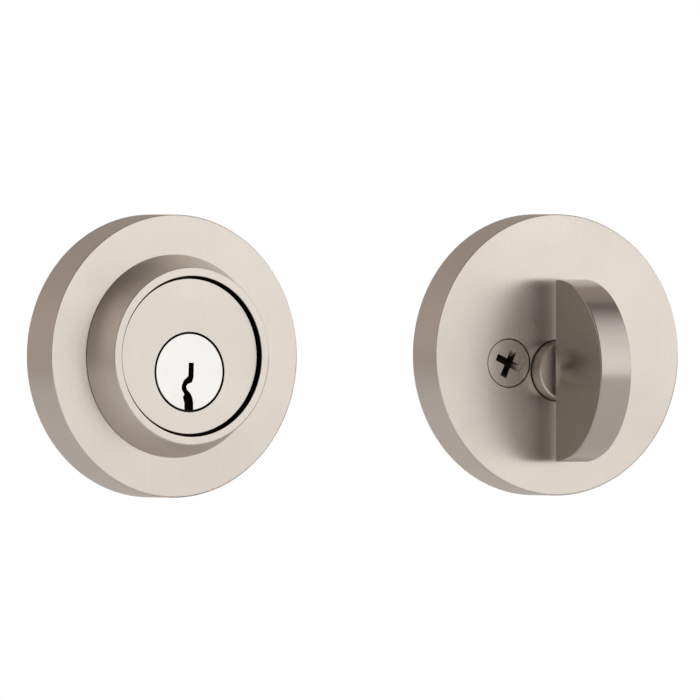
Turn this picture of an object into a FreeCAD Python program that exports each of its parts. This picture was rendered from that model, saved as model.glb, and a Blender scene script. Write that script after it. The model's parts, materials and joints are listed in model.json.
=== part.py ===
import FreeCAD, Part
import math
import os

# Deadbolt door lock: the exterior cylinder half, the interior thumbturn half and the bolt.
# Millimetres, +Z up.  Both trim halves stand side by side, face -Y and rest on the plane
# Y = 0, where the face of the door would be.  The origin is the centre of the exterior
# rose on that plane.  The bolt lies below them, at the middle of the door's thickness.

V = FreeCAD.Vector
ALONG_Y = V(0, 1, 0)
ALONG_X = V(1, 0, 0)

# ---- driving dimensions ----
ROSE_R = 33.35
ROSE_CAVITY_R = 29.5
ROSE_WALL = 2.4
EXT_ROSE_T = 11.7
INT_ROSE_T = 10.8
EDGE_ROUND = 0.35
HALF_SPACING = 105.0
DRIVE_Z = -3.7
POST_X = 13.3
POST_Z = -1.9
SCREW_R = 2.74
SCREW_HOLE_R = 3.1
FIT_GAP = 0.08
GASKET_IN_R = 26.0
GASKET_T = 1.3

# exterior half
EXT_FACE_Y = -EXT_ROSE_T
COLLAR_FRONT_Y = -20.0
COLLAR_BASE_Y = EXT_FACE_Y - 0.2
COLLAR_BASE_R = 23.9
COLLAR_FRONT_R = 20.9
COLLAR_MOUTH_R = 18.95
COLLAR_MOUTH_ROUND = 0.12
COLLAR_BORE_R = 21.0
COLLAR_LEDGE_Y = -16.0
COLLAR_LIP_Y = -12.8
COLLAR_GROOVE_R = 22.4
SPRING_PLATE_T = 0.35
DRUM_R = 18.3
DRUM_FACE_Y = -18.8
DRUM_EDGE_ROUND = 0.12
ROSE_HOLE_R = 18.8
DRUM_FLANGE_R = 20.7
DRUM_FLANGE_Y = -15.0
DRUM_NECK_R = 19.6
SPIGOT_R = 18.5
SPIGOT_END_Y = -6.0
BARREL_R = 8.6
BARREL_END_Y = 9.4
TOWER_HALF_W = 4.2
TOWER_TOP_Z = 13.2
HOUSING_SCREW_PLACES = ((9.2, 11.0), (-9.2, 11.0), (8.0, -13.8), (-8.0, -13.8))
HOUSING_SCREW_R = 1.5
HOUSING_SCREW_HEAD_R = 2.9
HOUSING_SCREW_HEAD_T = 1.7
HOUSING_SCREW_TIP_Y = -12.0
HOUSING_SCREW_HEAD_ROUND = 0.6
HOUSING_SCREW_SLOT_HALF_W = 0.4
ANTI_DRILL_R = 1.1
ANTI_DRILL_X = 8.3
ANTI_DRILL_Y = -13.0
ANTI_DRILL_ENDS_Z = (-12.0, 8.0)
PLATE_R = 28.5
EXT_PLATE_T = 2.5
POST_R = 4.2
POST_END_Y = 20.0
POST_FOOT_R = 6.0

# plug and pin stacks
PLUG_R = 6.35
PLUG_FLANGE_R = 9.0
PLUG_FLANGE_T = 2.0
PLUG_SEAT_R = 9.5
PLUG_EDGE_ROUND = 0.12
KEYWAY_END_Y = 8.2
PIN_R = 1.45
PIN_TIP_R = 0.6
PIN_TIP_H = 0.9
PIN_HOLE_R = 1.52
PIN_COUNT = 5
PIN_PITCH = 3.97
FIRST_PIN_Y = -11.3
KEY_PIN_LENGTHS = (5.2, 6.6, 4.4, 7.2, 5.8)
DRIVER_LENGTH = 4.4
CAP_STRIP_Z = 11.4
CAP_STRIP_HALF_W = 1.85
CAP_STRIP_T = 0.83
SPRING_WIRE_R = 0.17
SPRING_COIL_R = 1.15
SPRING_TURNS = 5
PLUG_NECK_R = 4.5
CAP_R = 7.6
CUP_R = 6.4
CAP_FLOOR_Y = (BARREL_END_Y + 0.2, 12.2)
CUP_RIM_Y = 14.9
LUG_INNER_R = 4.8
LUG_ANGLE = 30.0
TAIL_LUG_AT = 135.0
TAIL_WIDTH = 6.35
TAIL_THICK = 1.9
TAIL_END_Y = 50.0
TAIL_SCORES_Y = (30.0, 36.5, 43.0)
TAIL_SCORE_W = 0.8
TAIL_SCORE_DEPTH = 0.35
TAIL_DISC_T = 1.2
TAIL_END_CHAMFER = 0.4
TAIL_RING_IN_R = 4.1
TAIL_RING_T = 0.8
DRIVE_SLOT_GAP = 0.3

# interior half
INT_FACE_Y = -INT_ROSE_T
HUB_R = 7.1
HUB_CHAMFER = 0.35
HUB_PROUD = 4.1
HUB_FRONT_Y = INT_FACE_Y - HUB_PROUD
HUB_JOURNAL_R = 5.9
HUB_END_Y = 6.0
BUSHING_R = 6.9
BUSHING_LIP_R = 7.4
LIP_FRONT_Y = INT_FACE_Y + 0.45
LIP_BACK_Y = INT_FACE_Y + 1.1
GRIP_R = 21.6
GRIP_HALF_T = 4.15
GRIP_CHORD_Y = INT_FACE_Y - 6.1
NECK_HALF_T = 2.0
NECK_HALF_H = 4.9
TONGUE_HALF_H = 2.8
TONGUE_END_Y = -8.0
GRIP_PIN_Y = -9.6
GRIP_PIN_R = 1.0
GRIP_PIN_HALF_L = 5.7
GRIP_FIT = 0.05
GRIP_SEAT_DEPTH = 0.5
GRIP_SEAT_GAP = 0.15
CLIP_GROOVE_Y = (-6.4, -5.4)
CLIP_GROOVE_DEPTH = 0.9
CLIP_MOUTH_HALF_W = 3.2
DRIVE_SLOT_Y = -7.0
BEHIND_WALL_R = 7.8
SCREW_HEAD_R = 5.6
SCREW_HEAD_GAP = 0.27
SCREW_HEAD_LAND = 0.45
SCREW_HALF_CONE = 41.0
SCREW_SUNK = 0.15
SCREW_NECK_R = 2.45
SCREW_NECK_END_Y = 0.5
THREAD_START_Y = 12.0
THREAD_PITCH = 1.06
THREAD_ROOT_R = 2.25
RECESS_ARM = 3.55
RECESS_HALF_W = 0.85
RECESS_DEPTH = 2.3
RECESS_TURN = 25.0
SCREW_END_Y = 29.5
BOSS_R = 5.2
INT_PLATE_Y = (-3.4, -1.4)
INT_PLATE_HOLE_R = 9.4

# bolt: the crank axis is placed below the halves, in the middle of a 44.4 mm door
CRANK_X = 31.5
CRANK_Y = 22.2
CRANK_Z = -118.0
BACKSET = 60.3
CASE_RISE = -DRIVE_Z
CASE_R = 12.4
CASE_REAR_R = 12.15
CASE_WALL = 1.1
CASE_HALF_W = 6.3
CASE_BACK_X = -20.0
CASE_WINDOW_HALF_W = 4.2
CASE_WINDOW_Z = 7.0
TUBE_START_X = 21.0
FACEPLATE_W = 25.4
FACEPLATE_H = 57.15
FACEPLATE_T = 2.2
BACKPLATE_T = 1.2
FACEPLATE_SCREW_SPACING = 41.3
FACEPLATE_HOLE_R = 2.2
RIVET_SPACING = 29.6
RIVET_HOLE_R = 1.25
FACEPLATE_CORNER = 6.3
FACEPLATE_SINK_R = 3.7
FACEPLATE_SINK_DEPTH = 1.2
BACKPLATE_HOLE_R = 3.0
BOLT_R = 10.9
BOLT_HALF_W = 7.6
BOLT_REAR_X = 24.0
BOLT_NOSE_PROUD = 0.4
BOLT_NOSE_CHAMFER = 0.9
BOLT_MOUTH_GAP = 0.4
INSERT_R = 3.0
INSERT_ENDS_X = (38.2, 57.5)
CROSS_PIN_R = 1.0
CROSS_PIN_HALF_L = 5.1
CROSS_PIN_X = BOLT_REAR_X + 6.0
CROSS_PIN_Z = 11.95
FORK_SEAT_Z = 9.9
FORK_SEAT_HALF_W = 3.6
FORK_SEAT_L = 12.0
THROW = 25.4
LINK_PIN_Z = THROW / 2
LINK_PIN_R = 1.1
LINK_PIN_HALF_L = 3.6
LINK_WEB_HALF_W = 2.5
LINK_CHEEK_Y = 2.75
LINK_CHEEK_T = 1.2
LINK_EYE_R = 2.2
LINK_EDGES_Z = (LINK_PIN_Z - 2.4, LINK_PIN_Z + 0.9)
CRANK_SLOT_HALF_W = 2.4
CRANK_ARM_HALF_W = 3.5
CRANK_JOURNAL_R = 4.8
CRANK_HUB_R = 6.4
CRANK_HUB_HALF_W = 4.6
CRANK_ARM_HALF_T = 1.7
CRANK_ARM_TIP = 17.2
CRANK_SLOT_ENDS = (13.5, 17.0)
CRANK_REST_ANGLE = -45.0


# ---- shape helpers ----
def rod(r, y0, y1, x=0.0, z=0.0):
    return Part.makeCylinder(r, y1 - y0, V(x, y0, z), ALONG_Y)


def rod_x(r, x0, x1, y=0.0, z=0.0):
    return Part.makeCylinder(r, x1 - x0, V(x0, y, z), ALONG_X)


def rod_z(r, z0, z1, x=0.0, y=0.0):
    return Part.makeCylinder(r, z1 - z0, V(x, y, z0))


def ring(r_out, r_in, y0, y1, x=0.0, z=0.0):
    return rod(r_out, y0, y1, x, z).cut(rod(r_in, y0 - 1, y1 + 1, x, z))


def block(x0, x1, y0, y1, z0, z1):
    return Part.makeBox(x1 - x0, y1 - y0, z1 - z0, V(x0, y0, z0))


def turned(profile, x=0.0, z=0.0):
    """Solid of revolution about a line along Y; the profile is a list of (radius, y)."""
    points = [V(x + r, y, z) for r, y in profile]
    face = Part.Face(Part.makePolygon(points + points[:1]))
    return face.revolve(V(x, 0, z), ALONG_Y, 360)


def prism_y(outline, y0, y1):
    """An outline of (x, z) points, extruded along Y."""
    points = [V(x, y0, z) for x, z in outline]
    return Part.Face(Part.makePolygon(points + points[:1])).extrude(V(0, y1 - y0, 0))


def sector(r_out, r_in, y0, y1, middle, angle, z):
    """Part of a ring; its middle is turned from +Z towards +X by the given degrees."""
    full = ring(r_out, r_in, y0, y1, 0, z)
    reach = 2 * r_out
    half = math.radians(angle / 2)
    corner_x = reach * math.sin(half)
    corner_z = reach * math.cos(half)
    wedge = prism_y([(0, 0), (-corner_x, corner_z), (corner_x, corner_z)], y0, y1)
    wedge.rotate(V(0, 0, 0), ALONG_Y, middle)
    wedge.translate(V(0, 0, z))
    return full.common(wedge)


def rounded_rim(shape, radius, keep):
    """Round every circular edge that the test picks."""
    edges = [e for e in shape.Edges if keep(e)]
    return shape.makeFillet(radius, edges)


def circle_at(r, y):
    """Test for a circular edge about an axis along Y, by its radius and height."""
    def test(edge):
        curve = edge.Curve
        return (isinstance(curve, Part.Circle) and abs(curve.Radius - r) < 0.01
                and abs(curve.Center.y - y) < 0.01)
    return test


def fused(shapes):
    return shapes[0].multiFuse(shapes[1:]).removeSplitter()


def pin_stations():
    return [FIRST_PIN_Y + i * PIN_PITCH for i in range(PIN_COUNT)]


def in_interior(shape):
    return shape.translated(V(HALF_SPACING, 0, 0))


def in_bolt_place(shape):
    return shape.translated(V(CRANK_X, CRANK_Y, CRANK_Z))


# ---- exterior half ----
def exterior_rose():
    shell = turned([(ROSE_HOLE_R, EXT_FACE_Y), (ROSE_R, EXT_FACE_Y), (ROSE_R, 0),
                    (ROSE_CAVITY_R, 0), (ROSE_CAVITY_R, EXT_FACE_Y + ROSE_WALL),
                    (ROSE_HOLE_R, EXT_FACE_Y + ROSE_WALL)])
    return rounded_rim(shell, EDGE_ROUND, circle_at(ROSE_R, EXT_FACE_Y))


def guard_collar():
    profile = [(COLLAR_MOUTH_R, COLLAR_FRONT_Y), (COLLAR_FRONT_R, COLLAR_FRONT_Y),
               (COLLAR_BASE_R, COLLAR_BASE_Y), (COLLAR_GROOVE_R, COLLAR_BASE_Y),
               (COLLAR_GROOVE_R, COLLAR_LIP_Y), (COLLAR_BORE_R, COLLAR_LIP_Y),
               (COLLAR_BORE_R, COLLAR_LEDGE_Y), (COLLAR_MOUTH_R, COLLAR_LEDGE_Y)]
    collar = rounded_rim(turned(profile), EDGE_ROUND, circle_at(COLLAR_FRONT_R, COLLAR_FRONT_Y))
    return rounded_rim(collar, COLLAR_MOUTH_ROUND, circle_at(COLLAR_MOUTH_R, COLLAR_FRONT_Y))


def collar_retaining_ring():
    return ring(COLLAR_GROOVE_R - 0.02, DRUM_NECK_R + 0.3, COLLAR_LIP_Y + 0.02, COLLAR_BASE_Y)


def collar_spring_washer():
    inner, outer, thick = DRUM_R + 0.4, DRUM_FLANGE_R - 0.2, SPRING_PLATE_T
    front, back = COLLAR_LEDGE_Y + 0.1, DRUM_FLANGE_Y - 0.05
    return turned([(inner, front), (outer, back - thick), (outer, back), (inner, front + thick)])


def cylinder_housing():
    drum = turned([(0, DRUM_FACE_Y), (DRUM_R, DRUM_FACE_Y), (DRUM_R, DRUM_FLANGE_Y),
                   (DRUM_FLANGE_R, DRUM_FLANGE_Y), (DRUM_FLANGE_R, COLLAR_LIP_Y - 0.1),
                   (DRUM_NECK_R, COLLAR_LIP_Y - 0.1), (DRUM_NECK_R, EXT_FACE_Y),
                   (SPIGOT_R, EXT_FACE_Y), (SPIGOT_R, SPIGOT_END_Y), (0, SPIGOT_END_Y)])
    drum = rounded_rim(drum, DRUM_EDGE_ROUND, circle_at(DRUM_R, DRUM_FACE_Y))
    barrel = rod(BARREL_R, SPIGOT_END_Y, BARREL_END_Y, 0, DRIVE_Z)
    tower = block(-TOWER_HALF_W, TOWER_HALF_W, SPIGOT_END_Y, BARREL_END_Y, DRIVE_Z, TOWER_TOP_Z)
    body = fused([drum, barrel, tower])
    cuts = [rod(PLUG_R + FIT_GAP, DRUM_FACE_Y, BARREL_END_Y + 1, 0, DRIVE_Z),
            rod(PLUG_SEAT_R, DRUM_FACE_Y - 1, DRUM_FACE_Y + PLUG_FLANGE_T + 0.1, 0, DRIVE_Z),
            block(-CAP_STRIP_HALF_W - 0.05, CAP_STRIP_HALF_W + 0.05, FIRST_PIN_Y - 2.2,
                  BARREL_END_Y + 1, CAP_STRIP_Z, CAP_STRIP_Z + CAP_STRIP_T + 0.07)]
    for y in pin_stations():
        cuts.append(rod_z(PIN_HOLE_R, DRIVE_Z, CAP_STRIP_Z + 0.1, 0, y))
    for x, z in HOUSING_SCREW_PLACES:
        cuts.append(rod(HOUSING_SCREW_R + 0.05, HOUSING_SCREW_TIP_Y - 0.5, SPIGOT_END_Y + 1, x, z))
    for side in (-1, 1):
        cuts.append(rod_z(ANTI_DRILL_R + 0.05, -DRUM_R, ANTI_DRILL_ENDS_Z[1] + 0.1,
                          side * ANTI_DRILL_X, ANTI_DRILL_Y))
    return body.cut(Part.makeCompound(cuts))


def anti_drill_pins():
    return Part.makeCompound([rod_z(ANTI_DRILL_R, *ANTI_DRILL_ENDS_Z, side * ANTI_DRILL_X,
                                    ANTI_DRILL_Y) for side in (-1, 1)])


def keyway():
    """Cut-out for the key: a warded slot, open at the plug's lower side."""
    mouth_z = -PLUG_FLANGE_R - 1
    left = [(-0.2, 2.2), (-0.3, -0.9), (-1.6, -2.0), (-2.1, -3.2), (-2.1, -4.1), (-1.4, -5.2),
            (-1.8, -5.9), (-1.4, -7.3), (-1.4, mouth_z)]
    right = [(1.2, 2.2), (1.1, -1.2), (0.7, -2.4), (-0.4, -2.8), (-0.9, -3.3), (-0.7, -4.1),
             (0.3, -5.1), (0.8, -6.1), (1.0, -7.3), (1.0, mouth_z)]
    slot = prism_y(left + right[::-1], DRUM_FACE_Y - 1, KEYWAY_END_Y)
    return slot.translated(V(0, 0, DRIVE_Z))


def plug():
    flange_back = DRUM_FACE_Y + PLUG_FLANGE_T
    body = turned([(0, DRUM_FACE_Y), (PLUG_FLANGE_R, DRUM_FACE_Y), (PLUG_FLANGE_R, flange_back),
                   (PLUG_R, flange_back), (PLUG_R, BARREL_END_Y + 0.1),
                   (PLUG_NECK_R, BARREL_END_Y + 0.1), (PLUG_NECK_R, CAP_FLOOR_Y[1] - 0.1),
                   (0, CAP_FLOOR_Y[1] - 0.1)], 0, DRIVE_Z)
    body = rounded_rim(body, PLUG_EDGE_ROUND, circle_at(PLUG_FLANGE_R, DRUM_FACE_Y))
    holes = [rod_z(PIN_HOLE_R, DRIVE_Z - 2.0, DRIVE_Z + PLUG_R + 1, 0, y)
             for y in pin_stations()]
    return body.cut(Part.makeCompound([keyway()] + holes))


def key_pins():
    """Lower pins, with their tops at the shear line and coned tips in the keyway."""
    top = DRIVE_Z + PLUG_R - 0.22
    pins = []
    for y, length in zip(pin_stations(), KEY_PIN_LENGTHS):
        tip = Part.makeCone(PIN_TIP_R, PIN_R, PIN_TIP_H, V(0, y, top - length))
        pins.append(tip.fuse(rod_z(PIN_R, top - length + PIN_TIP_H, top, 0, y)))
    return Part.makeCompound(pins)


def driver_foot_z():
    return DRIVE_Z + PLUG_R + FIT_GAP + 0.1


def driver_pins():
    foot = driver_foot_z()
    return Part.makeCompound([rod_z(PIN_R, foot, foot + DRIVER_LENGTH, 0, y)
                              for y in pin_stations()])


def pin_springs():
    """Coil springs of six-sided wire."""
    foot = driver_foot_z() + DRIVER_LENGTH + SPRING_WIRE_R + 0.03
    height = CAP_STRIP_Z - SPRING_WIRE_R - 0.03 - foot
    helix = Part.makeHelix(height / SPRING_TURNS, height, SPRING_COIL_R)
    corners = []
    for i in range(6):
        angle = math.radians(60 * i + 30)
        corners.append(V(SPRING_COIL_R + SPRING_WIRE_R * math.cos(angle), 0,
                         SPRING_WIRE_R * math.sin(angle)))
    section = Part.makePolygon(corners + corners[:1])
    coil = Part.Wire(helix).makePipeShell([section], True, True)
    return Part.makeCompound([coil.translated(V(0, y, foot)) for y in pin_stations()])


def pin_chamber_cap():
    return block(-CAP_STRIP_HALF_W, CAP_STRIP_HALF_W, FIRST_PIN_Y - 2.1, BARREL_END_Y - 0.2,
                 CAP_STRIP_Z + 0.02, CAP_STRIP_Z + 0.02 + CAP_STRIP_T)


def plug_cap():
    """Cup screwed on the plug's neck: it keeps the plug in and turns the tailpiece."""
    front, floor = CAP_FLOOR_Y
    base = ring(CAP_R, PLUG_NECK_R + 0.02, front, floor, 0, DRIVE_Z)
    rim = ring(CAP_R, CUP_R, floor, CUP_RIM_Y, 0, DRIVE_Z)
    lug = sector(CUP_R + 0.5, LUG_INNER_R, floor - 0.2, floor + 1.4, 0, LUG_ANGLE, DRIVE_Z)
    return fused([base, rim, lug])


def tailpiece():
    disc_y0 = CAP_FLOOR_Y[1] + 0.15
    disc_y1 = disc_y0 + TAIL_DISC_T
    disc = rod(LUG_INNER_R - 0.35, disc_y0, disc_y1, 0, DRIVE_Z)
    lug = sector(CUP_R - 0.3, 1.0, disc_y0, disc_y1, TAIL_LUG_AT, LUG_ANGLE, DRIVE_Z)
    half_t, half_w = TAIL_THICK / 2, TAIL_WIDTH / 2
    bar = block(-half_t, half_t, disc_y0, TAIL_END_Y, DRIVE_Z - half_w, DRIVE_Z + half_w)
    bar = bar.makeChamfer(TAIL_END_CHAMFER, [
        e for e in bar.Edges if abs(e.CenterOfMass.y - TAIL_END_Y) < 0.01])
    notches = []
    for y in TAIL_SCORES_Y:
        for side in (-1, 1):
            x = side * half_t
            notches.append(block(x - TAIL_SCORE_DEPTH, x + TAIL_SCORE_DEPTH, y, y + TAIL_SCORE_W,
                                 DRIVE_Z - half_w - 1, DRIVE_Z + half_w + 1))
    return fused([disc, lug, bar.cut(Part.makeCompound(notches))])


def tailpiece_ring():
    front = CAP_FLOOR_Y[1] + 1.75
    return ring(CUP_R - 0.02, TAIL_RING_IN_R, front, front + TAIL_RING_T, 0, DRIVE_Z)


def cylinder_mounting_plate():
    back = SPIGOT_END_Y + EXT_PLATE_T
    posts = [rod(POST_R, back - 0.5, POST_END_Y, side * POST_X, POST_Z) for side in (-1, 1)]
    feet = [rod(POST_FOOT_R, back - 0.1, back + 1.6, side * POST_X, POST_Z) for side in (-1, 1)]
    body = fused([rod(PLATE_R, SPIGOT_END_Y + 0.02, back)] + posts + feet)
    cuts = [rod(BARREL_R + 0.3, SPIGOT_END_Y - 1, back + 2, 0, DRIVE_Z),
            block(-TOWER_HALF_W - 0.3, TOWER_HALF_W + 0.3, SPIGOT_END_Y - 1, back + 2,
                  DRIVE_Z, TOWER_TOP_Z + 0.3)]
    for side in (-1, 1):
        cuts.append(rod(SCREW_R + 0.06, 0, POST_END_Y + 1, side * POST_X, POST_Z))
    for x, z in HOUSING_SCREW_PLACES:
        cuts.append(rod(HOUSING_SCREW_R + 0.3, SPIGOT_END_Y - 1, back + 2, x, z))
    return body.cut(Part.makeCompound(cuts))


def housing_screws():
    head_y = SPIGOT_END_Y + EXT_PLATE_T
    screws = []
    for x, z in HOUSING_SCREW_PLACES:
        shank = rod(HOUSING_SCREW_R, HOUSING_SCREW_TIP_Y, head_y, x, z)
        head_top = head_y + HOUSING_SCREW_HEAD_T
        head = rounded_rim(rod(HOUSING_SCREW_HEAD_R, head_y, head_top, x, z),
                           HOUSING_SCREW_HEAD_ROUND, circle_at(HOUSING_SCREW_HEAD_R, head_top))
        slot = block(x - HOUSING_SCREW_SLOT_HALF_W, x + HOUSING_SCREW_SLOT_HALF_W,
                     head_y + HOUSING_SCREW_HEAD_T / 2, head_top + 1,
                     z - HOUSING_SCREW_HEAD_R - 1, z + HOUSING_SCREW_HEAD_R + 1)
        screws.append(fused([shank, head]).cut(slot))
    return Part.makeCompound(screws)


def gasket():
    return ring(ROSE_CAVITY_R - 0.15, GASKET_IN_R, -GASKET_T, 0)


# ---- interior half ----
def interior_rose():
    shell = turned([(0, INT_FACE_Y), (ROSE_R, INT_FACE_Y), (ROSE_R, 0), (ROSE_CAVITY_R, 0),
                    (ROSE_CAVITY_R, INT_FACE_Y + ROSE_WALL), (0, INT_FACE_Y + ROSE_WALL)])
    shell = rounded_rim(shell, EDGE_ROUND, circle_at(ROSE_R, INT_FACE_Y))
    bosses = [rod(BOSS_R, INT_FACE_Y + 1, INT_PLATE_Y[0] - 0.02, side * POST_X, POST_Z)
              for side in (-1, 1)]
    body = fused([shell] + bosses)
    cuts = [rod(BUSHING_R, INT_FACE_Y - 1, 0, 0, DRIVE_Z),
            rod(BUSHING_LIP_R + 0.02, INT_FACE_Y - 1, LIP_BACK_Y + 0.02, 0, DRIVE_Z)]
    for side in (-1, 1):
        cuts.append(screw_seat(side * POST_X))
    return in_interior(body.cut(Part.makeCompound(cuts)))


def screw_head_profile(head_r, shank_r, top_y):
    """Flat head with an 82 degree cone below a short cylindrical land."""
    land_y = top_y + SCREW_HEAD_LAND
    foot_y = land_y + (head_r - shank_r) / math.tan(math.radians(SCREW_HALF_CONE))
    return [(0, top_y), (head_r, top_y), (head_r, land_y), (shank_r, foot_y), (0, foot_y)]


def screw_seat(x):
    seat_r = SCREW_HEAD_R + SCREW_HEAD_GAP
    wide = turned(screw_head_profile(seat_r, SCREW_HOLE_R, INT_FACE_Y), x, POST_Z)
    mouth = rod(seat_r, INT_FACE_Y - 1, INT_FACE_Y + 0.1, x, POST_Z)
    return fused([wide, mouth, rod(SCREW_HOLE_R, INT_FACE_Y, 0, x, POST_Z)])


def cross_recess(x, top_y):
    arm, half_w, floor_y = RECESS_ARM, RECESS_HALF_W, top_y + RECESS_DEPTH
    bars = [block(x - arm, x + arm, top_y - 1, floor_y, POST_Z - half_w, POST_Z + half_w),
            block(x - half_w, x + half_w, top_y - 1, floor_y, POST_Z - arm, POST_Z + arm)]
    taper = turned([(0, top_y - 1), (arm + 0.2, top_y - 1), (arm + 0.05, top_y + 0.2),
                    (RECESS_ARM / 2, floor_y), (0, floor_y)], x, POST_Z)
    recess = fused(bars).common(taper)
    recess.rotate(V(x, 0, POST_Z), ALONG_Y, RECESS_TURN)
    return recess


def mounting_screws():
    top_y = INT_FACE_Y + SCREW_SUNK
    screws = []
    for side in (-1, 1):
        x = side * POST_X
        head = turned(screw_head_profile(SCREW_HEAD_R, SCREW_NECK_R, top_y), x, POST_Z)
        profile = [(0, top_y + 1), (SCREW_NECK_R, top_y + 1), (SCREW_NECK_R, SCREW_NECK_END_Y),
                   (SCREW_R, SCREW_NECK_END_Y + 0.3), (SCREW_R, THREAD_START_Y)]
        y = THREAD_START_Y
        while y + THREAD_PITCH < SCREW_END_Y - THREAD_PITCH:
            profile += [(THREAD_ROOT_R, y + THREAD_PITCH / 2), (SCREW_R, y + THREAD_PITCH)]
            y += THREAD_PITCH
        profile += [(THREAD_ROOT_R - 0.3, SCREW_END_Y), (0, SCREW_END_Y)]
        shank = turned(profile, x, POST_Z)
        screws.append(fused([head, shank]).cut(cross_recess(x, top_y)))
    return in_interior(Part.makeCompound(screws))


def thumbturn():
    """Half-disc grip with its flat side towards the rose, on a neck with a tongue in the hub."""
    centre = V(-GRIP_HALF_T, GRIP_CHORD_Y, DRIVE_Z)
    disc = Part.makeCylinder(GRIP_R, 2 * GRIP_HALF_T, centre, ALONG_X)
    front = block(-2 * GRIP_HALF_T, 2 * GRIP_HALF_T, GRIP_CHORD_Y - 2 * GRIP_R, GRIP_CHORD_Y,
                  -2 * GRIP_R, 2 * GRIP_R)
    half = disc.common(front)
    half = half.makeFillet(EDGE_ROUND, half.Edges)
    neck_end = HUB_FRONT_Y + GRIP_SEAT_DEPTH - GRIP_FIT
    neck = block(-NECK_HALF_T, NECK_HALF_T, GRIP_CHORD_Y - 1, neck_end,
                 DRIVE_Z - NECK_HALF_H, DRIVE_Z + NECK_HALF_H)
    tongue = block(-NECK_HALF_T, NECK_HALF_T, neck_end - 1, TONGUE_END_Y,
                   DRIVE_Z - TONGUE_HALF_H, DRIVE_Z + TONGUE_HALF_H)
    body = fused([half, neck, tongue]).cut(grip_pin(GRIP_PIN_R + 0.03))
    return in_interior(body)


def grip_pin(r):
    return rod_z(r, DRIVE_Z - GRIP_PIN_HALF_L, DRIVE_Z + GRIP_PIN_HALF_L, 0, GRIP_PIN_Y)


def thumbturn_hub():
    """Round hub with a seat and a pocket for the grip in front and a drive slot at the back."""
    shoulder_y = LIP_FRONT_Y - 0.08
    groove_r = HUB_JOURNAL_R - CLIP_GROOVE_DEPTH
    groove_front, groove_back = CLIP_GROOVE_Y
    body = turned([(0, HUB_FRONT_Y), (HUB_R - HUB_CHAMFER, HUB_FRONT_Y),
                   (HUB_R, HUB_FRONT_Y + HUB_CHAMFER), (HUB_R, shoulder_y),
                   (HUB_JOURNAL_R, shoulder_y),
                   (HUB_JOURNAL_R, groove_front), (groove_r, groove_front),
                   (groove_r, groove_back), (HUB_JOURNAL_R, groove_back),
                   (HUB_JOURNAL_R, HUB_END_Y), (0, HUB_END_Y)], 0, DRIVE_Z)
    seat_half_w, seat_half_h = NECK_HALF_T + GRIP_SEAT_GAP, NECK_HALF_H + GRIP_SEAT_GAP
    pocket_half_w, pocket_half_h = NECK_HALF_T + GRIP_FIT, TONGUE_HALF_H + GRIP_FIT
    seat = block(-seat_half_w, seat_half_w, HUB_FRONT_Y - 1, HUB_FRONT_Y + GRIP_SEAT_DEPTH,
                 DRIVE_Z - seat_half_h, DRIVE_Z + seat_half_h)
    pocket = block(-pocket_half_w, pocket_half_w, HUB_FRONT_Y - 1, TONGUE_END_Y + 0.1,
                   DRIVE_Z - pocket_half_h, DRIVE_Z + pocket_half_h)
    pin_hole = rod_z(GRIP_PIN_R + 0.03, DRIVE_Z - HUB_R, DRIVE_Z + HUB_R, 0, GRIP_PIN_Y)
    cuts = [seat, pocket, pin_hole, tail_slot(DRIVE_SLOT_Y, HUB_END_Y + 1, DRIVE_Z)]
    return in_interior(body.cut(Part.makeCompound(cuts)))


def tail_slot(y0, y1, z):
    """Slot that the tailpiece fits, with room for it to sit off centre."""
    half_t, half_w = TAIL_THICK / 2 + DRIVE_SLOT_GAP, TAIL_WIDTH / 2 + DRIVE_SLOT_GAP
    return block(-half_t, half_t, y0, y1, z - half_w, z + half_w)


def thumbturn_pin():
    return in_interior(grip_pin(GRIP_PIN_R))


def hub_bushing():
    """Plastic bush that the hub turns in, with a lip sunk in the rose's face."""
    inner = HUB_JOURNAL_R + FIT_GAP
    back = INT_FACE_Y + ROSE_WALL
    return in_interior(turned([(inner, LIP_FRONT_Y), (BUSHING_LIP_R, LIP_FRONT_Y),
                               (BUSHING_LIP_R, LIP_BACK_Y), (BUSHING_R - 0.02, LIP_BACK_Y),
                               (BUSHING_R - 0.02, back), (inner, back)], 0, DRIVE_Z))


def hub_spring_washer():
    inner, outer, thick = HUB_JOURNAL_R + 0.4, BEHIND_WALL_R, SPRING_PLATE_T
    front, back = INT_FACE_Y + ROSE_WALL + 0.1, CLIP_GROOVE_Y[0] - 0.05
    return in_interior(turned([(inner, back - thick), (outer, front), (outer, front + thick),
                               (inner, back)], 0, DRIVE_Z))


def hub_retaining_clip():
    """Open clip in the hub's groove, behind the spring washer."""
    front, back = CLIP_GROOVE_Y
    inner = HUB_JOURNAL_R - CLIP_GROOVE_DEPTH + 0.05
    body = ring(BEHIND_WALL_R, inner, front + 0.1, back - 0.1, 0, DRIVE_Z)
    mouth = block(-CLIP_MOUTH_HALF_W, CLIP_MOUTH_HALF_W, front - 1, back + 1,
                  DRIVE_Z - BEHIND_WALL_R - 1, DRIVE_Z)
    return in_interior(body.cut(mouth))


def interior_mounting_plate():
    front, back = INT_PLATE_Y
    cuts = [rod(INT_PLATE_HOLE_R, front - 1, back + 1, 0, DRIVE_Z)]
    for side in (-1, 1):
        cuts.append(rod(SCREW_HOLE_R, front - 1, back + 1, side * POST_X, POST_Z))
    return in_interior(rod(PLATE_R, front, back).cut(Part.makeCompound(cuts)))


# ---- bolt, drawn about the crank axis and then moved to its place ----
def case_section(r, half_w, x0, x1):
    """Round bar along X about the case's centre line, with flat sides."""
    bar = rod_x(r, x0, x1, 0, CASE_RISE)
    return bar.common(block(x0 - 1, x1 + 1, -half_w, half_w, CASE_RISE - r - 1, CASE_RISE + r + 1))


def plate_y_holes(r):
    return [rod(r, -20, 20, side * POST_X, POST_Z - DRIVE_Z) for side in (-1, 1)]


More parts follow.
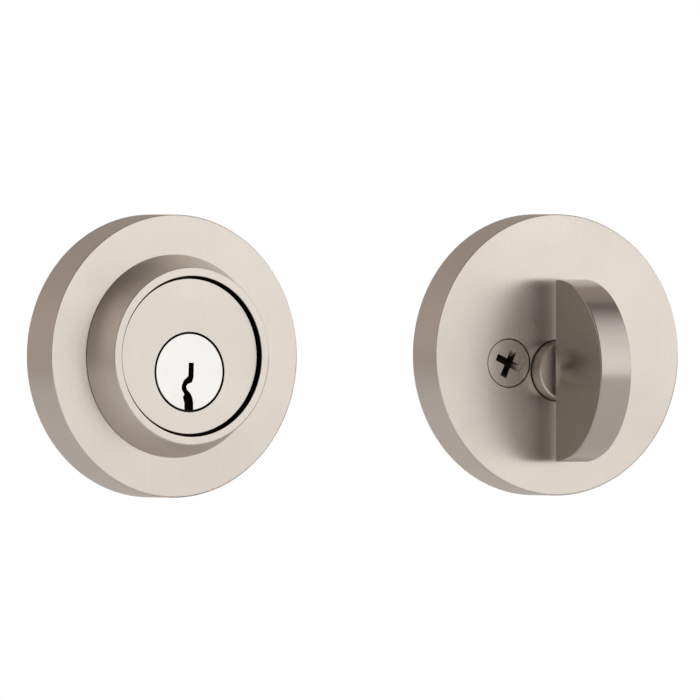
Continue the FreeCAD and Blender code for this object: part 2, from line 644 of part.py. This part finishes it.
def bolt_case():
    front_x = BACKSET - FACEPLATE_T - BACKPLATE_T
    inner_r = CASE_R - CASE_WALL
    rear = case_section(CASE_REAR_R, CASE_HALF_W, CASE_BACK_X, TUBE_START_X + 1)
    tube = rod_x(CASE_R, TUBE_START_X, front_x, 0, CASE_RISE)
    body = fused([rear, tube])
    top = CASE_RISE + CASE_R
    cuts = [case_section(inner_r, CASE_HALF_W - 1.2, CASE_BACK_X + 1.1, TUBE_START_X + 1.2),
            rod_x(inner_r, TUBE_START_X + 1.1, front_x + 1, 0, CASE_RISE),
            block(CASE_BACK_X + 2, TUBE_START_X - 1, -CASE_WINDOW_HALF_W, CASE_WINDOW_HALF_W,
                  CASE_RISE + CASE_WINDOW_Z, top + 1),
            rod(CRANK_JOURNAL_R + FIT_GAP, -20, 20)] + plate_y_holes(POST_R + 0.5)
    return in_bolt_place(body.cut(Part.makeCompound(cuts)))


def round_cornered_plate(half_w, half_h, x0, x1, corner):
    plate = block(x0, x1, -half_w, half_w, CASE_RISE - half_h, CASE_RISE + half_h)
    upright = [e for e in plate.Edges if abs(abs(e.CenterOfMass.y) - half_w) < 0.01
               and abs(abs(e.CenterOfMass.z - CASE_RISE) - half_h) < 0.01]
    return plate.makeFillet(corner, upright)


def bolt_mouth(x0, x1):
    return case_section(BOLT_R + BOLT_MOUTH_GAP, BOLT_HALF_W + BOLT_MOUTH_GAP, x0, x1)


def rivet_places():
    return [CASE_RISE + side * RIVET_SPACING / 2 for side in (-1, 1)]


def bolt_faceplate():
    x0, x1 = BACKSET - FACEPLATE_T, BACKSET
    plate = round_cornered_plate(FACEPLATE_W / 2, FACEPLATE_H / 2, x0, x1, FACEPLATE_CORNER)
    cuts = [bolt_mouth(x0 - 1, x1 + 1)] + [rod_x(RIVET_HOLE_R, x0 - 1, x1 + 1, 0, z)
                                           for z in rivet_places()]
    for side in (-1, 1):
        z = CASE_RISE + side * FACEPLATE_SCREW_SPACING / 2
        cuts.append(rod_x(FACEPLATE_HOLE_R, x0 - 1, x1 + 1, 0, z))
        cuts.append(Part.makeCone(FACEPLATE_HOLE_R, FACEPLATE_SINK_R, FACEPLATE_SINK_DEPTH,
                                  V(x1 + 0.01 - FACEPLATE_SINK_DEPTH, 0, z), ALONG_X))
    return in_bolt_place(plate.cut(Part.makeCompound(cuts)))


def bolt_backplate():
    x1 = BACKSET - FACEPLATE_T
    x0 = x1 - BACKPLATE_T
    plate = round_cornered_plate(FACEPLATE_W / 2 - 0.15, FACEPLATE_H / 2 - 0.8, x0, x1,
                                 FACEPLATE_CORNER - 0.8)
    cuts = [bolt_mouth(x0 - 1, x1 + 1)] + [rod_x(RIVET_HOLE_R, x0 - 1, x1 + 1, 0, z)
                                           for z in rivet_places()]
    for side in (-1, 1):
        z = CASE_RISE + side * FACEPLATE_SCREW_SPACING / 2
        cuts.append(rod_x(BACKPLATE_HOLE_R, x0 - 1, x1 + 1, 0, z))
    return in_bolt_place(plate.cut(Part.makeCompound(cuts)))


def faceplate_rivets():
    x0 = BACKSET - FACEPLATE_T - BACKPLATE_T
    rivets = []
    for z in rivet_places():
        shank = rod_x(RIVET_HOLE_R - 0.05, x0 - 0.01, BACKSET, 0, z)
        rivets.append(shank.fuse(rod_x(RIVET_HOLE_R + 0.05, x0 - 0.6, x0 - 0.01, 0, z)))
    return in_bolt_place(Part.makeCompound(rivets))


def deadbolt():
    nose_x = BACKSET + BOLT_NOSE_PROUD
    body = case_section(BOLT_R, BOLT_HALF_W, BOLT_REAR_X, nose_x)
    nose = [e for e in body.Edges if abs(e.BoundBox.XMin - nose_x) < 0.01]
    body = body.makeChamfer(BOLT_NOSE_CHAMFER, nose)
    fork_seat = block(BOLT_REAR_X - 1, BOLT_REAR_X + FORK_SEAT_L, -FORK_SEAT_HALF_W,
                      FORK_SEAT_HALF_W, FORK_SEAT_Z, FORK_SEAT_Z + BOLT_R)
    insert_bore = rod_x(INSERT_R + 0.1, INSERT_ENDS_X[0] - 0.2, INSERT_ENDS_X[1] + 0.2, 0,
                        CASE_RISE)
    cross_hole = rod(CROSS_PIN_R + 0.03, -20, 20, CROSS_PIN_X, CROSS_PIN_Z)
    return in_bolt_place(body.cut(Part.makeCompound([fork_seat, insert_bore, cross_hole])))


def hardened_insert():
    return in_bolt_place(rod_x(INSERT_R, *INSERT_ENDS_X, 0, CASE_RISE))


def bolt_link():
    """Two cheeks that straddle the crank arm, joined by a web in the bolt."""
    pin_x = -THROW / 2
    low, high = LINK_EDGES_Z
    end_x = BOLT_REAR_X + FORK_SEAT_L - 0.2
    cheeks = []
    for side in (-1, 1):
        y0, y1 = side * LINK_CHEEK_Y - LINK_CHEEK_T / 2, side * LINK_CHEEK_Y + LINK_CHEEK_T / 2
        cheeks.append(block(pin_x, end_x, y0, y1, low, high))
        cheeks.append(rod(LINK_EYE_R, y0, y1, pin_x, LINK_PIN_Z))
    web = block(BOLT_REAR_X + 1, end_x, -LINK_WEB_HALF_W, LINK_WEB_HALF_W, low, high)
    cuts = [rod(LINK_PIN_R + 0.02, -5, 5, pin_x, LINK_PIN_Z),
            rod(CROSS_PIN_R + 0.03, -5, 5, CROSS_PIN_X, CROSS_PIN_Z)]
    return in_bolt_place(fused(cheeks + [web]).cut(Part.makeCompound(cuts)))


def link_drive_pin():
    return in_bolt_place(rod(LINK_PIN_R, -LINK_PIN_HALF_L, LINK_PIN_HALF_L, -THROW / 2,
                             LINK_PIN_Z))


def link_cross_pin():
    return in_bolt_place(rod(CROSS_PIN_R, -CROSS_PIN_HALF_L, CROSS_PIN_HALF_L, CROSS_PIN_X,
                             CROSS_PIN_Z))


def crank_cam():
    """Hub turned by the tailpiece; its slotted arm carries the link's pin."""
    half_t, slot_low, slot_high = CRANK_ARM_HALF_T, CRANK_SLOT_ENDS[0], CRANK_SLOT_ENDS[1]
    arm = fused([block(-CRANK_ARM_HALF_W, CRANK_ARM_HALF_W, -half_t, half_t, 0, CRANK_ARM_TIP),
                 rod(CRANK_ARM_HALF_W, -half_t, half_t, 0, CRANK_ARM_TIP)])
    slot = fused([block(-CRANK_SLOT_HALF_W, CRANK_SLOT_HALF_W, -3, 3, slot_low, slot_high),
                  rod(CRANK_SLOT_HALF_W, -3, 3, 0, slot_low),
                  rod(CRANK_SLOT_HALF_W, -3, 3, 0, slot_high)])
    arm = arm.cut(slot)
    arm.rotate(V(0, 0, 0), ALONG_Y, CRANK_REST_ANGLE)
    journal_half_w = CASE_HALF_W - 0.1
    hub = fused([rod(CRANK_HUB_R, -CRANK_HUB_HALF_W, CRANK_HUB_HALF_W),
                 rod(CRANK_JOURNAL_R, -journal_half_w, journal_half_w)])
    return in_bolt_place(fused([hub, arm]).cut(tail_slot(-20, 20, 0)))


PIECES = {
    "exterior_rose": exterior_rose,
    "guard_collar": guard_collar,
    "collar_retaining_ring": collar_retaining_ring,
    "collar_spring_washer": collar_spring_washer,
    "cylinder_housing": cylinder_housing,
    "anti_drill_pins": anti_drill_pins,
    "plug": plug,
    "key_pins": key_pins,
    "driver_pins": driver_pins,
    "pin_springs": pin_springs,
    "pin_chamber_cap": pin_chamber_cap,
    "plug_cap": plug_cap,
    "tailpiece": tailpiece,
    "tailpiece_ring": tailpiece_ring,
    "cylinder_mounting_plate": cylinder_mounting_plate,
    "housing_screws": housing_screws,
    "exterior_gasket": gasket,
    "interior_rose": interior_rose,
    "mounting_screws": mounting_screws,
    "thumbturn": thumbturn,
    "thumbturn_hub": thumbturn_hub,
    "thumbturn_pin": thumbturn_pin,
    "hub_bushing": hub_bushing,
    "hub_spring_washer": hub_spring_washer,
    "hub_retaining_clip": hub_retaining_clip,
    "interior_mounting_plate": interior_mounting_plate,
    "interior_gasket": lambda: in_interior(gasket()),
    "bolt_case": bolt_case,
    "bolt_faceplate": bolt_faceplate,
    "bolt_backplate": bolt_backplate,
    "faceplate_rivets": faceplate_rivets,
    "deadbolt": deadbolt,
    "hardened_insert": hardened_insert,
    "bolt_link": bolt_link,
    "link_drive_pin": link_drive_pin,
    "link_cross_pin": link_cross_pin,
    "crank_cam": crank_cam,
}

os.makedirs("parts", exist_ok=True)
for name, make in PIECES.items():
    make().exportStep("parts/" + name + ".step")
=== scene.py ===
import bpy
import json
import math
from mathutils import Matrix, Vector


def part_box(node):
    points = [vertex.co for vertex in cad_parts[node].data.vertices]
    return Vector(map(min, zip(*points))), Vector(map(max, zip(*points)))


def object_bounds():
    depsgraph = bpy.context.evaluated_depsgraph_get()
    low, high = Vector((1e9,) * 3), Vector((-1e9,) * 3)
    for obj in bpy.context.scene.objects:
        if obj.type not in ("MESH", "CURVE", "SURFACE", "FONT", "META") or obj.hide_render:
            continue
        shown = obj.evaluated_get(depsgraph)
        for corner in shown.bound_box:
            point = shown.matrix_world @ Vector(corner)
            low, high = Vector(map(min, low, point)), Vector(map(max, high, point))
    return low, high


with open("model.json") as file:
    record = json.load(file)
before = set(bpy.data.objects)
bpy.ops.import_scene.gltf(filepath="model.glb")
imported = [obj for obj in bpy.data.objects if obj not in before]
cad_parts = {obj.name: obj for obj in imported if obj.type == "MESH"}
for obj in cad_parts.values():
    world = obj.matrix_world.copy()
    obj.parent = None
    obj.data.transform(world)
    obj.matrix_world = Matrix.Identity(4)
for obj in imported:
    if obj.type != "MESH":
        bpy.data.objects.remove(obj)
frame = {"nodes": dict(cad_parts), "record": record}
cad_low, cad_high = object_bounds()
MM = 0.001


def centre_of(node):
    low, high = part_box(node)
    return (low + high) / 2


def front_of(node):
    """Y of the face that looks along -Y."""
    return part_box(node)[0].y


# ---- the object, read from the frame ----
EXT_CENTRE, INT_CENTRE = centre_of("exterior_rose"), centre_of("interior_rose")
PLUG_CENTRE = centre_of("plug")
COLLAR_MOUTH_R = 18.95 * MM

# ---- camera: long lens, a little to the left of the front ----
AZIMUTH, ELEVATION = math.radians(-30.0), math.radians(0.3)
FRAME_WIDTH = 165.4 * MM
LENS, SENSOR = 1700.0, 36.0
CLIP_START, CLIP_END = 0.5, 20.0
AIM_LEFT, AIM_RISE = 4.15 * MM, 1.4 * MM    # from the middle between the two roses

# ---- studio: direction, spread from edge to middle, strength of each soft light ----
FRONT_LIGHTS = {
    "key, right of the front": ((0.7, -0.75, 0.0), (0.3, 0.85), 0.88),
    "front flat": ((0.2, -1.0, 0.0), (0.75, 1.0), 0.25),
}
WARM_LIGHTS = {
    "left flat": ((-1.0, 0.2, 0.2), (0.6, 1.0), 0.34),
    "right flat": ((1.0, 0.2, -0.3), (0.6, 1.0), 0.3),
    "back wall": ((0.0, 1.0, 0.3), (0.3, 0.36), 0.26),
}
ROOM_GLOW = 0.145
NEUTRAL, WARM, WHITE = (1.0, 1.0, 1.0, 1.0), (1.0, 0.87, 0.80, 1.0), (1.0, 1.0, 1.0, 1.0)
LAMP_PLACE, LAMP_SIZE, LAMP_POWER = (0.1, -0.3, 1.3), 0.9, 6.5
FLOOR_HALF, FLOOR_GAP = 1.5, 0.3 * MM
FLOOR_DARK, FLOOR_LIGHT = (0.88, 0.88, 0.88), (0.92, 0.92, 0.915)

# ---- metal colours ----
NICKEL = (0.70, 0.645, 0.585)
POLISHED = (0.78, 0.773, 0.76)
ZINC_PLATE = (0.56, 0.57, 0.58)
GROUND_STEEL = (0.42, 0.42, 0.43)
SPRING_STEEL = (0.46, 0.46, 0.47)
BRASS = (0.80, 0.58, 0.26)
CAST_ALLOY = (0.55, 0.55, 0.54)
NYLON = (0.10, 0.09, 0.078)
FOAM_DARK, FOAM_LIGHT = (0.018, 0.018, 0.019), (0.06, 0.06, 0.062)
# near-black painted shade, mixed into metals in gaps, recesses and faces turned away
PAINTED_SHADE = (0.02, 0.017, 0.014)

# ---- surface detail: noise scales in cells per metre ----
FINE_GRAIN, BROAD_GRAIN, SMUDGES = 9000.0, 1400.0, 45.0
WEAR, CASTING_PITS, CASTING_CLOUDS = 300.0, 2600.0, 160.0
FOAM_CELLS, PLASTIC_GRAIN, FLOOR_HAZE = 3500.0, 1800.0, 6.0
BRUSH_DEPTH, TURNING_DEPTH, TURNING_PITCH = 0.002 * MM, 0.002 * MM, 0.12 * MM
PIT_DEPTH, PLASTIC_DEPTH, FOAM_DEPTH = 0.03 * MM, 0.01 * MM, 0.1 * MM
UPRIGHT, ALONG_Y, ALONG_X = (1.0, 1.0, 0.03), (1.0, 0.05, 1.0), (0.04, 1.0, 1.0)

# ---- where painted shade falls: depths behind a front face, as start, full and end ----
SEAT_DEPTHS = (0.05 * MM, 0.3 * MM, 5.0 * MM)
DRUM_SIDE_DEPTHS = (0.12 * MM, 0.3 * MM, 5.0 * MM)
SCREW_DEPTHS = (0.1 * MM, 2.2 * MM, 3.0 * MM)
PLUG_SIDE_DEPTHS = (0.1 * MM, 0.3 * MM, 3.0 * MM)
SUNK_FADE = 1.0 * MM
SEAT_R, DRUM_FACE_R = 10.0 * MM, 11.0 * MM
BORE_FADE = (0.1 * MM, 0.3 * MM)
RIM_FADE = (0.02 * MM, 0.2 * MM)
CREVICE_REACH, CREVICE_SHUT, CREVICE_OPEN, CREVICE_SAMPLES = 1.0 * MM, 0.2, 0.62, 6

# Sockets of the colour mix node, whose names repeat for each data type
MIX_A, MIX_B, MIX_RESULT = 6, 7, 2


class Nodes:
    """Short names for building a node tree."""

    def __init__(self, tree):
        self.tree = tree
        tree.nodes.clear()

    def add(self, kind, **values):
        node = self.tree.nodes.new(kind)
        for key, value in values.items():
            setattr(node, key, value)
        return node

    def link(self, out, into):
        self.tree.links.new(out, into)

    def put(self, value, socket):
        """A constant is set on the socket; an output is linked to it."""
        if isinstance(value, (int, float, tuple)):
            socket.default_value = value
        else:
            self.link(value, socket)

    def math(self, operation, a, b=0.0):
        node = self.add("ShaderNodeMath", operation=operation)
        for socket, value in zip(node.inputs, (a, b)):
            self.put(value, socket)
        return node.outputs[0]

    def noise(self, scale, stretch=(1.0, 1.0, 1.0), detail=3.0, rough=0.55, offset=(0, 0, 0)):
        """Noise over the object's own coordinates."""
        coords = self.add("ShaderNodeTexCoord")
        mapping = self.add("ShaderNodeMapping")
        mapping.inputs["Scale"].default_value = stretch
        mapping.inputs["Location"].default_value = offset
        self.link(coords.outputs["Object"], mapping.inputs["Vector"])
        tex = self.add("ShaderNodeTexNoise")
        tex.inputs["Scale"].default_value = scale
        tex.inputs["Detail"].default_value = detail
        tex.inputs["Roughness"].default_value = rough
        self.link(mapping.outputs["Vector"], tex.inputs["Vector"])
        return tex.outputs["Fac"]

    def remap(self, value, low, high, to_low, to_high):
        node = self.add("ShaderNodeMapRange")
        self.link(value, node.inputs["Value"])
        for socket, number in zip(("From Min", "From Max", "To Min", "To Max"),
                                  (low, high, to_low, to_high)):
            node.inputs[socket].default_value = number
        return node.outputs["Result"]

    def tint(self, fac, dark, light, start=0.3, end=0.7):
        ramp = self.add("ShaderNodeValToRGB")
        for element, place, colour in zip(ramp.color_ramp.elements, (start, end), (dark, light)):
            element.position = place
            element.color = (*colour, 1.0)
        self.link(fac, ramp.inputs["Fac"])
        return ramp.outputs["Color"]

    def crevice(self):
        """Painted shade from ambient occlusion: 0 deep in gaps and corners, 1 on open surfaces."""
        shade = self.add("ShaderNodeAmbientOcclusion", samples=CREVICE_SAMPLES)
        shade.inputs["Distance"].default_value = CREVICE_REACH
        return self.remap(shade.outputs["AO"], CREVICE_SHUT, CREVICE_OPEN, 0.0, 1.0)

    def axes(self, output="Object"):
        """X, Y and Z of the object's own coordinates, or of its normals."""
        split = self.add("ShaderNodeSeparateXYZ")
        self.link(self.add("ShaderNodeTexCoord").outputs[output], split.inputs["Vector"])
        return split.outputs

    def radius(self, centre):
        """Distance from an axis along Y through the centre."""
        dx = self.math("SUBTRACT", self.axes()["X"], centre.x)
        dz = self.math("SUBTRACT", self.axes()["Z"], centre.z)
        squares = self.math("ADD", self.math("MULTIPLY", dx, dx), self.math("MULTIPLY", dz, dz))
        return self.math("SQRT", squares)

    def sunk(self, face_y, depths):
        """0 between the full and end depths behind a face that looks along -Y, 1 elsewhere."""
        start, full, end = depths
        y = self.axes()["Y"]
        before = self.remap(y, face_y + start, face_y + full, 1.0, 0.0)
        behind = self.remap(y, face_y + end, face_y + end + SUNK_FADE, 0.0, 1.0)
        return self.math("MAXIMUM", before, behind)

    def bored(self, centre, radius, face_y):
        """0 on the wall of a bore, below the face that it opens in, 1 elsewhere."""
        near, far = BORE_FADE
        outside = self.remap(self.radius(centre), radius + near, radius + far, 0.0, 1.0)
        near, far = RIM_FADE
        on_face = self.remap(self.axes()["Y"], face_y + near, face_y + far, 1.0, 0.0)
        return self.math("MAXIMUM", outside, on_face)

    def facing(self, low, high, shade):
        """Painted shade by facing: 1 on surfaces that look along -Y, down to shade where the
        normal's Y is high.
        """
        return self.remap(self.axes("Normal")["Y"], low, high, 1.0, shade)

    def with_painted_shade(self, colour, openness):
        """The colour, darkened with painted shade where the openness falls to 0."""
        mix = self.add("ShaderNodeMix", data_type="RGBA")
        self.link(openness, mix.inputs["Factor"])
        mix.inputs[MIX_A].default_value = (*PAINTED_SHADE, 1.0)
        self.put(colour, mix.inputs[MIX_B])
        return mix.outputs[MIX_RESULT]

    def across(self, direction):
        """A direction fixed to the object, for brushing that turns with it."""
        turn = self.add("ShaderNodeVectorTransform", vector_type="VECTOR",
                        convert_from="OBJECT", convert_to="WORLD")
        turn.inputs[0].default_value = direction
        return turn.outputs[0]

    def bump(self, height, strength, distance):
        node = self.add("ShaderNodeBump")
        node.inputs["Strength"].default_value = strength
        node.inputs["Distance"].default_value = distance
        self.link(height, node.inputs["Height"])
        return node.outputs["Normal"]


# ---- materials ----
def shaded(colour, amount):
    return tuple(c * amount for c in colour)


def new_material(name, metallic=0.0):
    material = bpy.data.materials.new(name)
    material.use_nodes = True
    nodes = Nodes(material.node_tree)
    shader = nodes.add("ShaderNodeBsdfPrincipled")
    shader.inputs["Metallic"].default_value = metallic
    output = nodes.add("ShaderNodeOutputMaterial")
    nodes.link(shader.outputs["BSDF"], output.inputs["Surface"])
    return material, nodes, shader


def brushed_metal(name, colour, rough, streak, along=UPRIGHT, smudge=0.03, variation=0.03,
                  spread=0.0, mask=None):
    """Metal with fine brush lines; along squeezes the grain in the brushing direction,
    spread widens reflections across the lines, and mask(nodes) is 0 where painted shade falls."""
    material, nodes, shader = new_material(name, metallic=1.0)
    fine = nodes.noise(FINE_GRAIN, along, detail=4.0)
    broad = nodes.noise(BROAD_GRAIN, along, offset=(3.1, 1.7, 0.4))
    cloud = nodes.noise(SMUDGES, detail=4.0, offset=(0.7, 0.2, 5.0))
    grain = nodes.math("ADD", nodes.math("MULTIPLY", fine, 0.6), nodes.math("MULTIPLY", broad, 0.4))
    base = nodes.tint(grain, shaded(colour, 1.0 - variation), shaded(colour, 1.0 + variation))
    # painted shade: ambient occlusion darkens gaps and corners, and the mask adds more
    openness = nodes.crevice()
    if mask:
        openness = nodes.math("MULTIPLY", openness, mask(nodes))
    nodes.link(nodes.with_painted_shade(base, openness), shader.inputs["Base Color"])
    if spread:
        shader.inputs["Anisotropic"].default_value = spread
        nodes.link(nodes.across((1.0, 1.0, 0.0)), shader.inputs["Tangent"])
    streaky = nodes.remap(grain, 0.3, 0.7, rough - streak, rough + streak)
    patchy = nodes.remap(cloud, 0.35, 0.7, -smudge, smudge)
    nodes.link(nodes.math("ADD", streaky, patchy), shader.inputs["Roughness"])
    nodes.link(nodes.bump(grain, 0.25, BRUSH_DEPTH), shader.inputs["Normal"])
    return material


def nickel(name, mask=None, rough=0.30, spread=0.7, painted_tone=1.0):
    """The lock's satin finish, in lighter or darker painted copies: the last argument scales its
    colour as painted light.
    """
    return brushed_metal(name, shaded(NICKEL, painted_tone), rough, streak=0.012, spread=spread, mask=mask)


def turned_metal(name, colour, rough, centre, mask):
    """Metal faced on a lathe: fine rings about an axis along Y, under light wear."""
    material, nodes, shader = new_material(name, metallic=1.0)
    turns = nodes.math("MULTIPLY", nodes.radius(centre), 2 * math.pi / TURNING_PITCH)
    wear = nodes.noise(WEAR, detail=5.0)
    base = nodes.tint(wear, shaded(colour, 0.97), colour)
    # painted shade from ambient occlusion and the mask
    openness = nodes.math("MULTIPLY", nodes.crevice(), mask(nodes))
    nodes.link(nodes.with_painted_shade(base, openness), shader.inputs["Base Color"])
    nodes.link(nodes.remap(wear, 0.3, 0.75, rough, rough + 0.08), shader.inputs["Roughness"])
    nodes.link(nodes.bump(nodes.math("SINE", turns), 0.2, TURNING_DEPTH), shader.inputs["Normal"])
    return material


def cast_metal(name, colour, rough):
    """Tumbled casting: soft pits and slightly uneven shine."""
    material, nodes, shader = new_material(name, metallic=1.0)
    pits = nodes.noise(CASTING_PITS, detail=5.0, rough=0.65)
    cloud = nodes.noise(CASTING_CLOUDS, detail=4.0)
    nodes.link(nodes.tint(cloud, shaded(colour, 0.82), colour), shader.inputs["Base Color"])
    nodes.link(nodes.remap(pits, 0.3, 0.7, rough - 0.06, rough + 0.1), shader.inputs["Roughness"])
    nodes.link(nodes.bump(pits, 0.5, PIT_DEPTH), shader.inputs["Normal"])
    return material


def foam(name):
    material, nodes, shader = new_material(name)
    cells = nodes.add("ShaderNodeTexVoronoi")
    cells.inputs["Scale"].default_value = FOAM_CELLS
    coords = nodes.add("ShaderNodeTexCoord")
    nodes.link(coords.outputs["Object"], cells.inputs["Vector"])
    base = nodes.tint(cells.outputs["Distance"], FOAM_DARK, FOAM_LIGHT)
    nodes.link(base, shader.inputs["Base Color"])
    shader.inputs["Roughness"].default_value = 0.85
    nodes.link(nodes.bump(cells.outputs["Distance"], 0.6, FOAM_DEPTH), shader.inputs["Normal"])
    return material


def moulded(name, colour):
    """Moulded plastic with a fine grain."""
    material, nodes, shader = new_material(name)
    grain = nodes.noise(PLASTIC_GRAIN, detail=4.0)
    nodes.link(nodes.tint(grain, shaded(colour, 0.9), colour), shader.inputs["Base Color"])
    nodes.link(nodes.remap(grain, 0.3, 0.7, 0.38, 0.5), shader.inputs["Roughness"])
    nodes.link(nodes.bump(grain, 0.3, PLASTIC_DEPTH), shader.inputs["Normal"])
    return material


# Masks for painted shade, 0 where the finish is painted dark
def collar_mask(nodes):
    """Painted shade down the wall of the mouth."""
    return nodes.bored(EXT_CENTRE, COLLAR_MOUTH_R, front_of("guard_collar"))


def cylinder_mask(nodes):
    """Painted shade in the plug's seat and round the outside, behind the rounded edge."""
    face_y = front_of("cylinder_housing")
    seat = nodes.sunk(face_y, SEAT_DEPTHS)
    outer = nodes.remap(nodes.radius(PLUG_CENTRE), SEAT_R, DRUM_FACE_R, 0.0, 1.0)
    side = nodes.sunk(face_y, DRUM_SIDE_DEPTHS)
    return nodes.math("MULTIPLY", nodes.math("MAXIMUM", seat, outer), side)


def grip_mask(nodes):
    """Painted shade on the flat side that looks at the rose."""
    return nodes.facing(0.4, 0.8, 0.28)


def hub_mask(nodes):
    """Painted shade: a little darker round the side than on the face."""
    return nodes.facing(-0.9, -0.6, 0.6)


def screw_mask(nodes):
    """Painted shade down in the recess."""
    return nodes.sunk(front_of("mounting_screws"), SCREW_DEPTHS)


def plug_mask(nodes):
    """Painted shade in the keyway and behind the face's edge."""
    return nodes.sunk(front_of("plug"), PLUG_SIDE_DEPTHS)


# The finish of each material slot in the record
SLOT_FINISHES = {
    "satin_nickel": nickel("satin_nickel"),
    "bright_nickel": turned_metal("bright_nickel", POLISHED, 0.12, PLUG_CENTRE, plug_mask),
    "steel": brushed_metal("zinc_plated_steel", ZINC_PLATE, rough=0.34, streak=0.07,
                           along=ALONG_X, variation=0.08),
    "hard_steel": brushed_metal("ground_steel", GROUND_STEEL, rough=0.22, streak=0.05,
                                along=ALONG_Y, variation=0.06),
    "spring_steel": brushed_metal("spring_steel", SPRING_STEEL, rough=0.27, streak=0.05),
    "brass": brushed_metal("machined_brass", BRASS, rough=0.26, streak=0.05,
                           along=ALONG_Y, variation=0.06),
    "cast_alloy": cast_metal("cast_alloy", CAST_ALLOY, rough=0.38),
    "foam": foam("closed_cell_foam"),
    "nylon": moulded("nylon", NYLON),
}

# Nodes with a finish of their own, within their slot: nickel with painted shade, in a darker
# painted copy for the grip and lighter painted copies for the hub and screws
OWN_FINISHES = {
    "guard_collar": nickel("collar_nickel", collar_mask),
    "cylinder_housing": nickel("cylinder_nickel", cylinder_mask),
    "thumbturn": nickel("grip_nickel", grip_mask, rough=0.24, spread=0.0, painted_tone=0.78),
    "thumbturn_hub": nickel("hub_nickel", hub_mask, rough=0.5, spread=0.0, painted_tone=1.4),
    "mounting_screws": nickel("screw_nickel", screw_mask, spread=0.0, painted_tone=1.15),
}


def paint_nodes():
    """Every CAD node takes its own finish, or the finish of its slot."""
    for part in frame["record"]["subparts"]:
        finish = OWN_FINISHES.get(part["node"], SLOT_FINISHES[part["material_slot"]])
        slots = frame["nodes"][part["node"]].data.materials
        slots.clear()
        slots.append(finish)


# ---- studio ----
def glow(nodes, direction, lights, base):
    """Strength of the light from each direction."""
    light = base
    for towards, (edge, middle), strength in lights.values():
        dot = nodes.add("ShaderNodeVectorMath", operation="DOT_PRODUCT")
        nodes.link(direction, dot.inputs[0])
        dot.inputs[1].default_value = Vector(towards).normalized()
        lobe = nodes.add("ShaderNodeMapRange", interpolation_type="SMOOTHSTEP")
        nodes.link(dot.outputs["Value"], lobe.inputs["Value"])
        for socket, value in (("From Min", edge), ("From Max", middle), ("To Max", strength)):
            lobe.inputs[socket].default_value = value
        light = nodes.math("ADD", light, lobe.outputs["Result"])
    return light


def make_world():
    """White to the camera; soft lights and warm grey flats for everything else."""
    world = bpy.data.worlds.new("studio")
    bpy.context.scene.world = world
    world.use_nodes = True
    nodes = Nodes(world.node_tree)
    direction = nodes.add("ShaderNodeTexCoord").outputs["Generated"]
    studio = nodes.add("ShaderNodeAddShader")
    for place, (colour, lights, base) in enumerate(((NEUTRAL, FRONT_LIGHTS, 0.0),
                                                    (WARM, WARM_LIGHTS, ROOM_GLOW))):
        side = nodes.add("ShaderNodeBackground")
        side.inputs["Color"].default_value = colour
        nodes.link(glow(nodes, direction, lights, base), side.inputs["Strength"])
        nodes.link(side.outputs["Background"], studio.inputs[place])
    white = nodes.add("ShaderNodeBackground")
    white.inputs["Color"].default_value = WHITE
    path = nodes.add("ShaderNodeLightPath")
    mix = nodes.add("ShaderNodeMixShader")
    nodes.link(path.outputs["Is Camera Ray"], mix.inputs["Fac"])
    nodes.link(studio.outputs["Shader"], mix.inputs[1])
    nodes.link(white.outputs["Background"], mix.inputs[2])
    output = nodes.add("ShaderNodeOutputWorld")
    nodes.link(mix.outputs["Shader"], output.inputs["Surface"])


def make_lamp():
    """A soft box overhead, which shades the floor and leaves no spot in the metal."""
    data = bpy.data.lights.new("top_soft_box", "AREA")
    data.shape = "SQUARE"
    data.size = LAMP_SIZE
    data.energy = LAMP_POWER
    lamp = bpy.data.objects.new("top_soft_box", data)
    lamp.visible_glossy = False
    lamp.location = LAMP_PLACE
    lamp.rotation_mode = "QUATERNION"
    towards = (cad_low + cad_high) / 2 - Vector(LAMP_PLACE)
    lamp.rotation_quaternion = towards.to_track_quat("-Z", "Y")
    bpy.context.scene.collection.objects.link(lamp)


def make_floor():
    material, nodes, shader = new_material("pale_floor")
    haze = nodes.noise(FLOOR_HAZE, detail=2.0)
    nodes.link(nodes.tint(haze, FLOOR_DARK, FLOOR_LIGHT), shader.inputs["Base Color"])
    shader.inputs["Roughness"].default_value = 0.7
    half = FLOOR_HALF
    mesh = bpy.data.meshes.new("floor")
    mesh.from_pydata([(-half, -half, 0), (half, -half, 0), (half, half, 0), (-half, half, 0)],
                     [], [(0, 1, 2, 3)])
    mesh.materials.append(material)
    floor = bpy.data.objects.new("floor", mesh)
    floor.location = (0, 0, cad_low.z - FLOOR_GAP)
    bpy.context.scene.collection.objects.link(floor)


def make_camera():
    data = bpy.data.cameras.new("camera")
    data.lens, data.sensor_width = LENS, SENSOR
    data.clip_start, data.clip_end = CLIP_START, CLIP_END
    right = Vector((math.cos(AZIMUTH), math.sin(AZIMUTH), 0.0))
    back = Vector((math.sin(AZIMUTH) * math.cos(ELEVATION),
                   -math.cos(AZIMUTH) * math.cos(ELEVATION), math.sin(ELEVATION)))
    up = back.cross(right)
    between = Vector(((EXT_CENTRE.x + INT_CENTRE.x) / 2, front_of("exterior_rose"), 0.0))
    aim = right * (between.dot(right) - AIM_LEFT) + up * AIM_RISE + back * between.dot(back)
    camera = bpy.data.objects.new("camera", data)
    camera.location = aim + back * (FRAME_WIDTH * LENS / SENSOR)
    camera.rotation_mode = "QUATERNION"
    camera.rotation_quaternion = (-back).to_track_quat("-Z", "Y")
    bpy.context.scene.collection.objects.link(camera)
    bpy.context.scene.camera = camera


bpy.context.scene.view_settings.view_transform = "Standard"
paint_nodes()
make_world()
make_lamp()
make_floor()
make_camera()
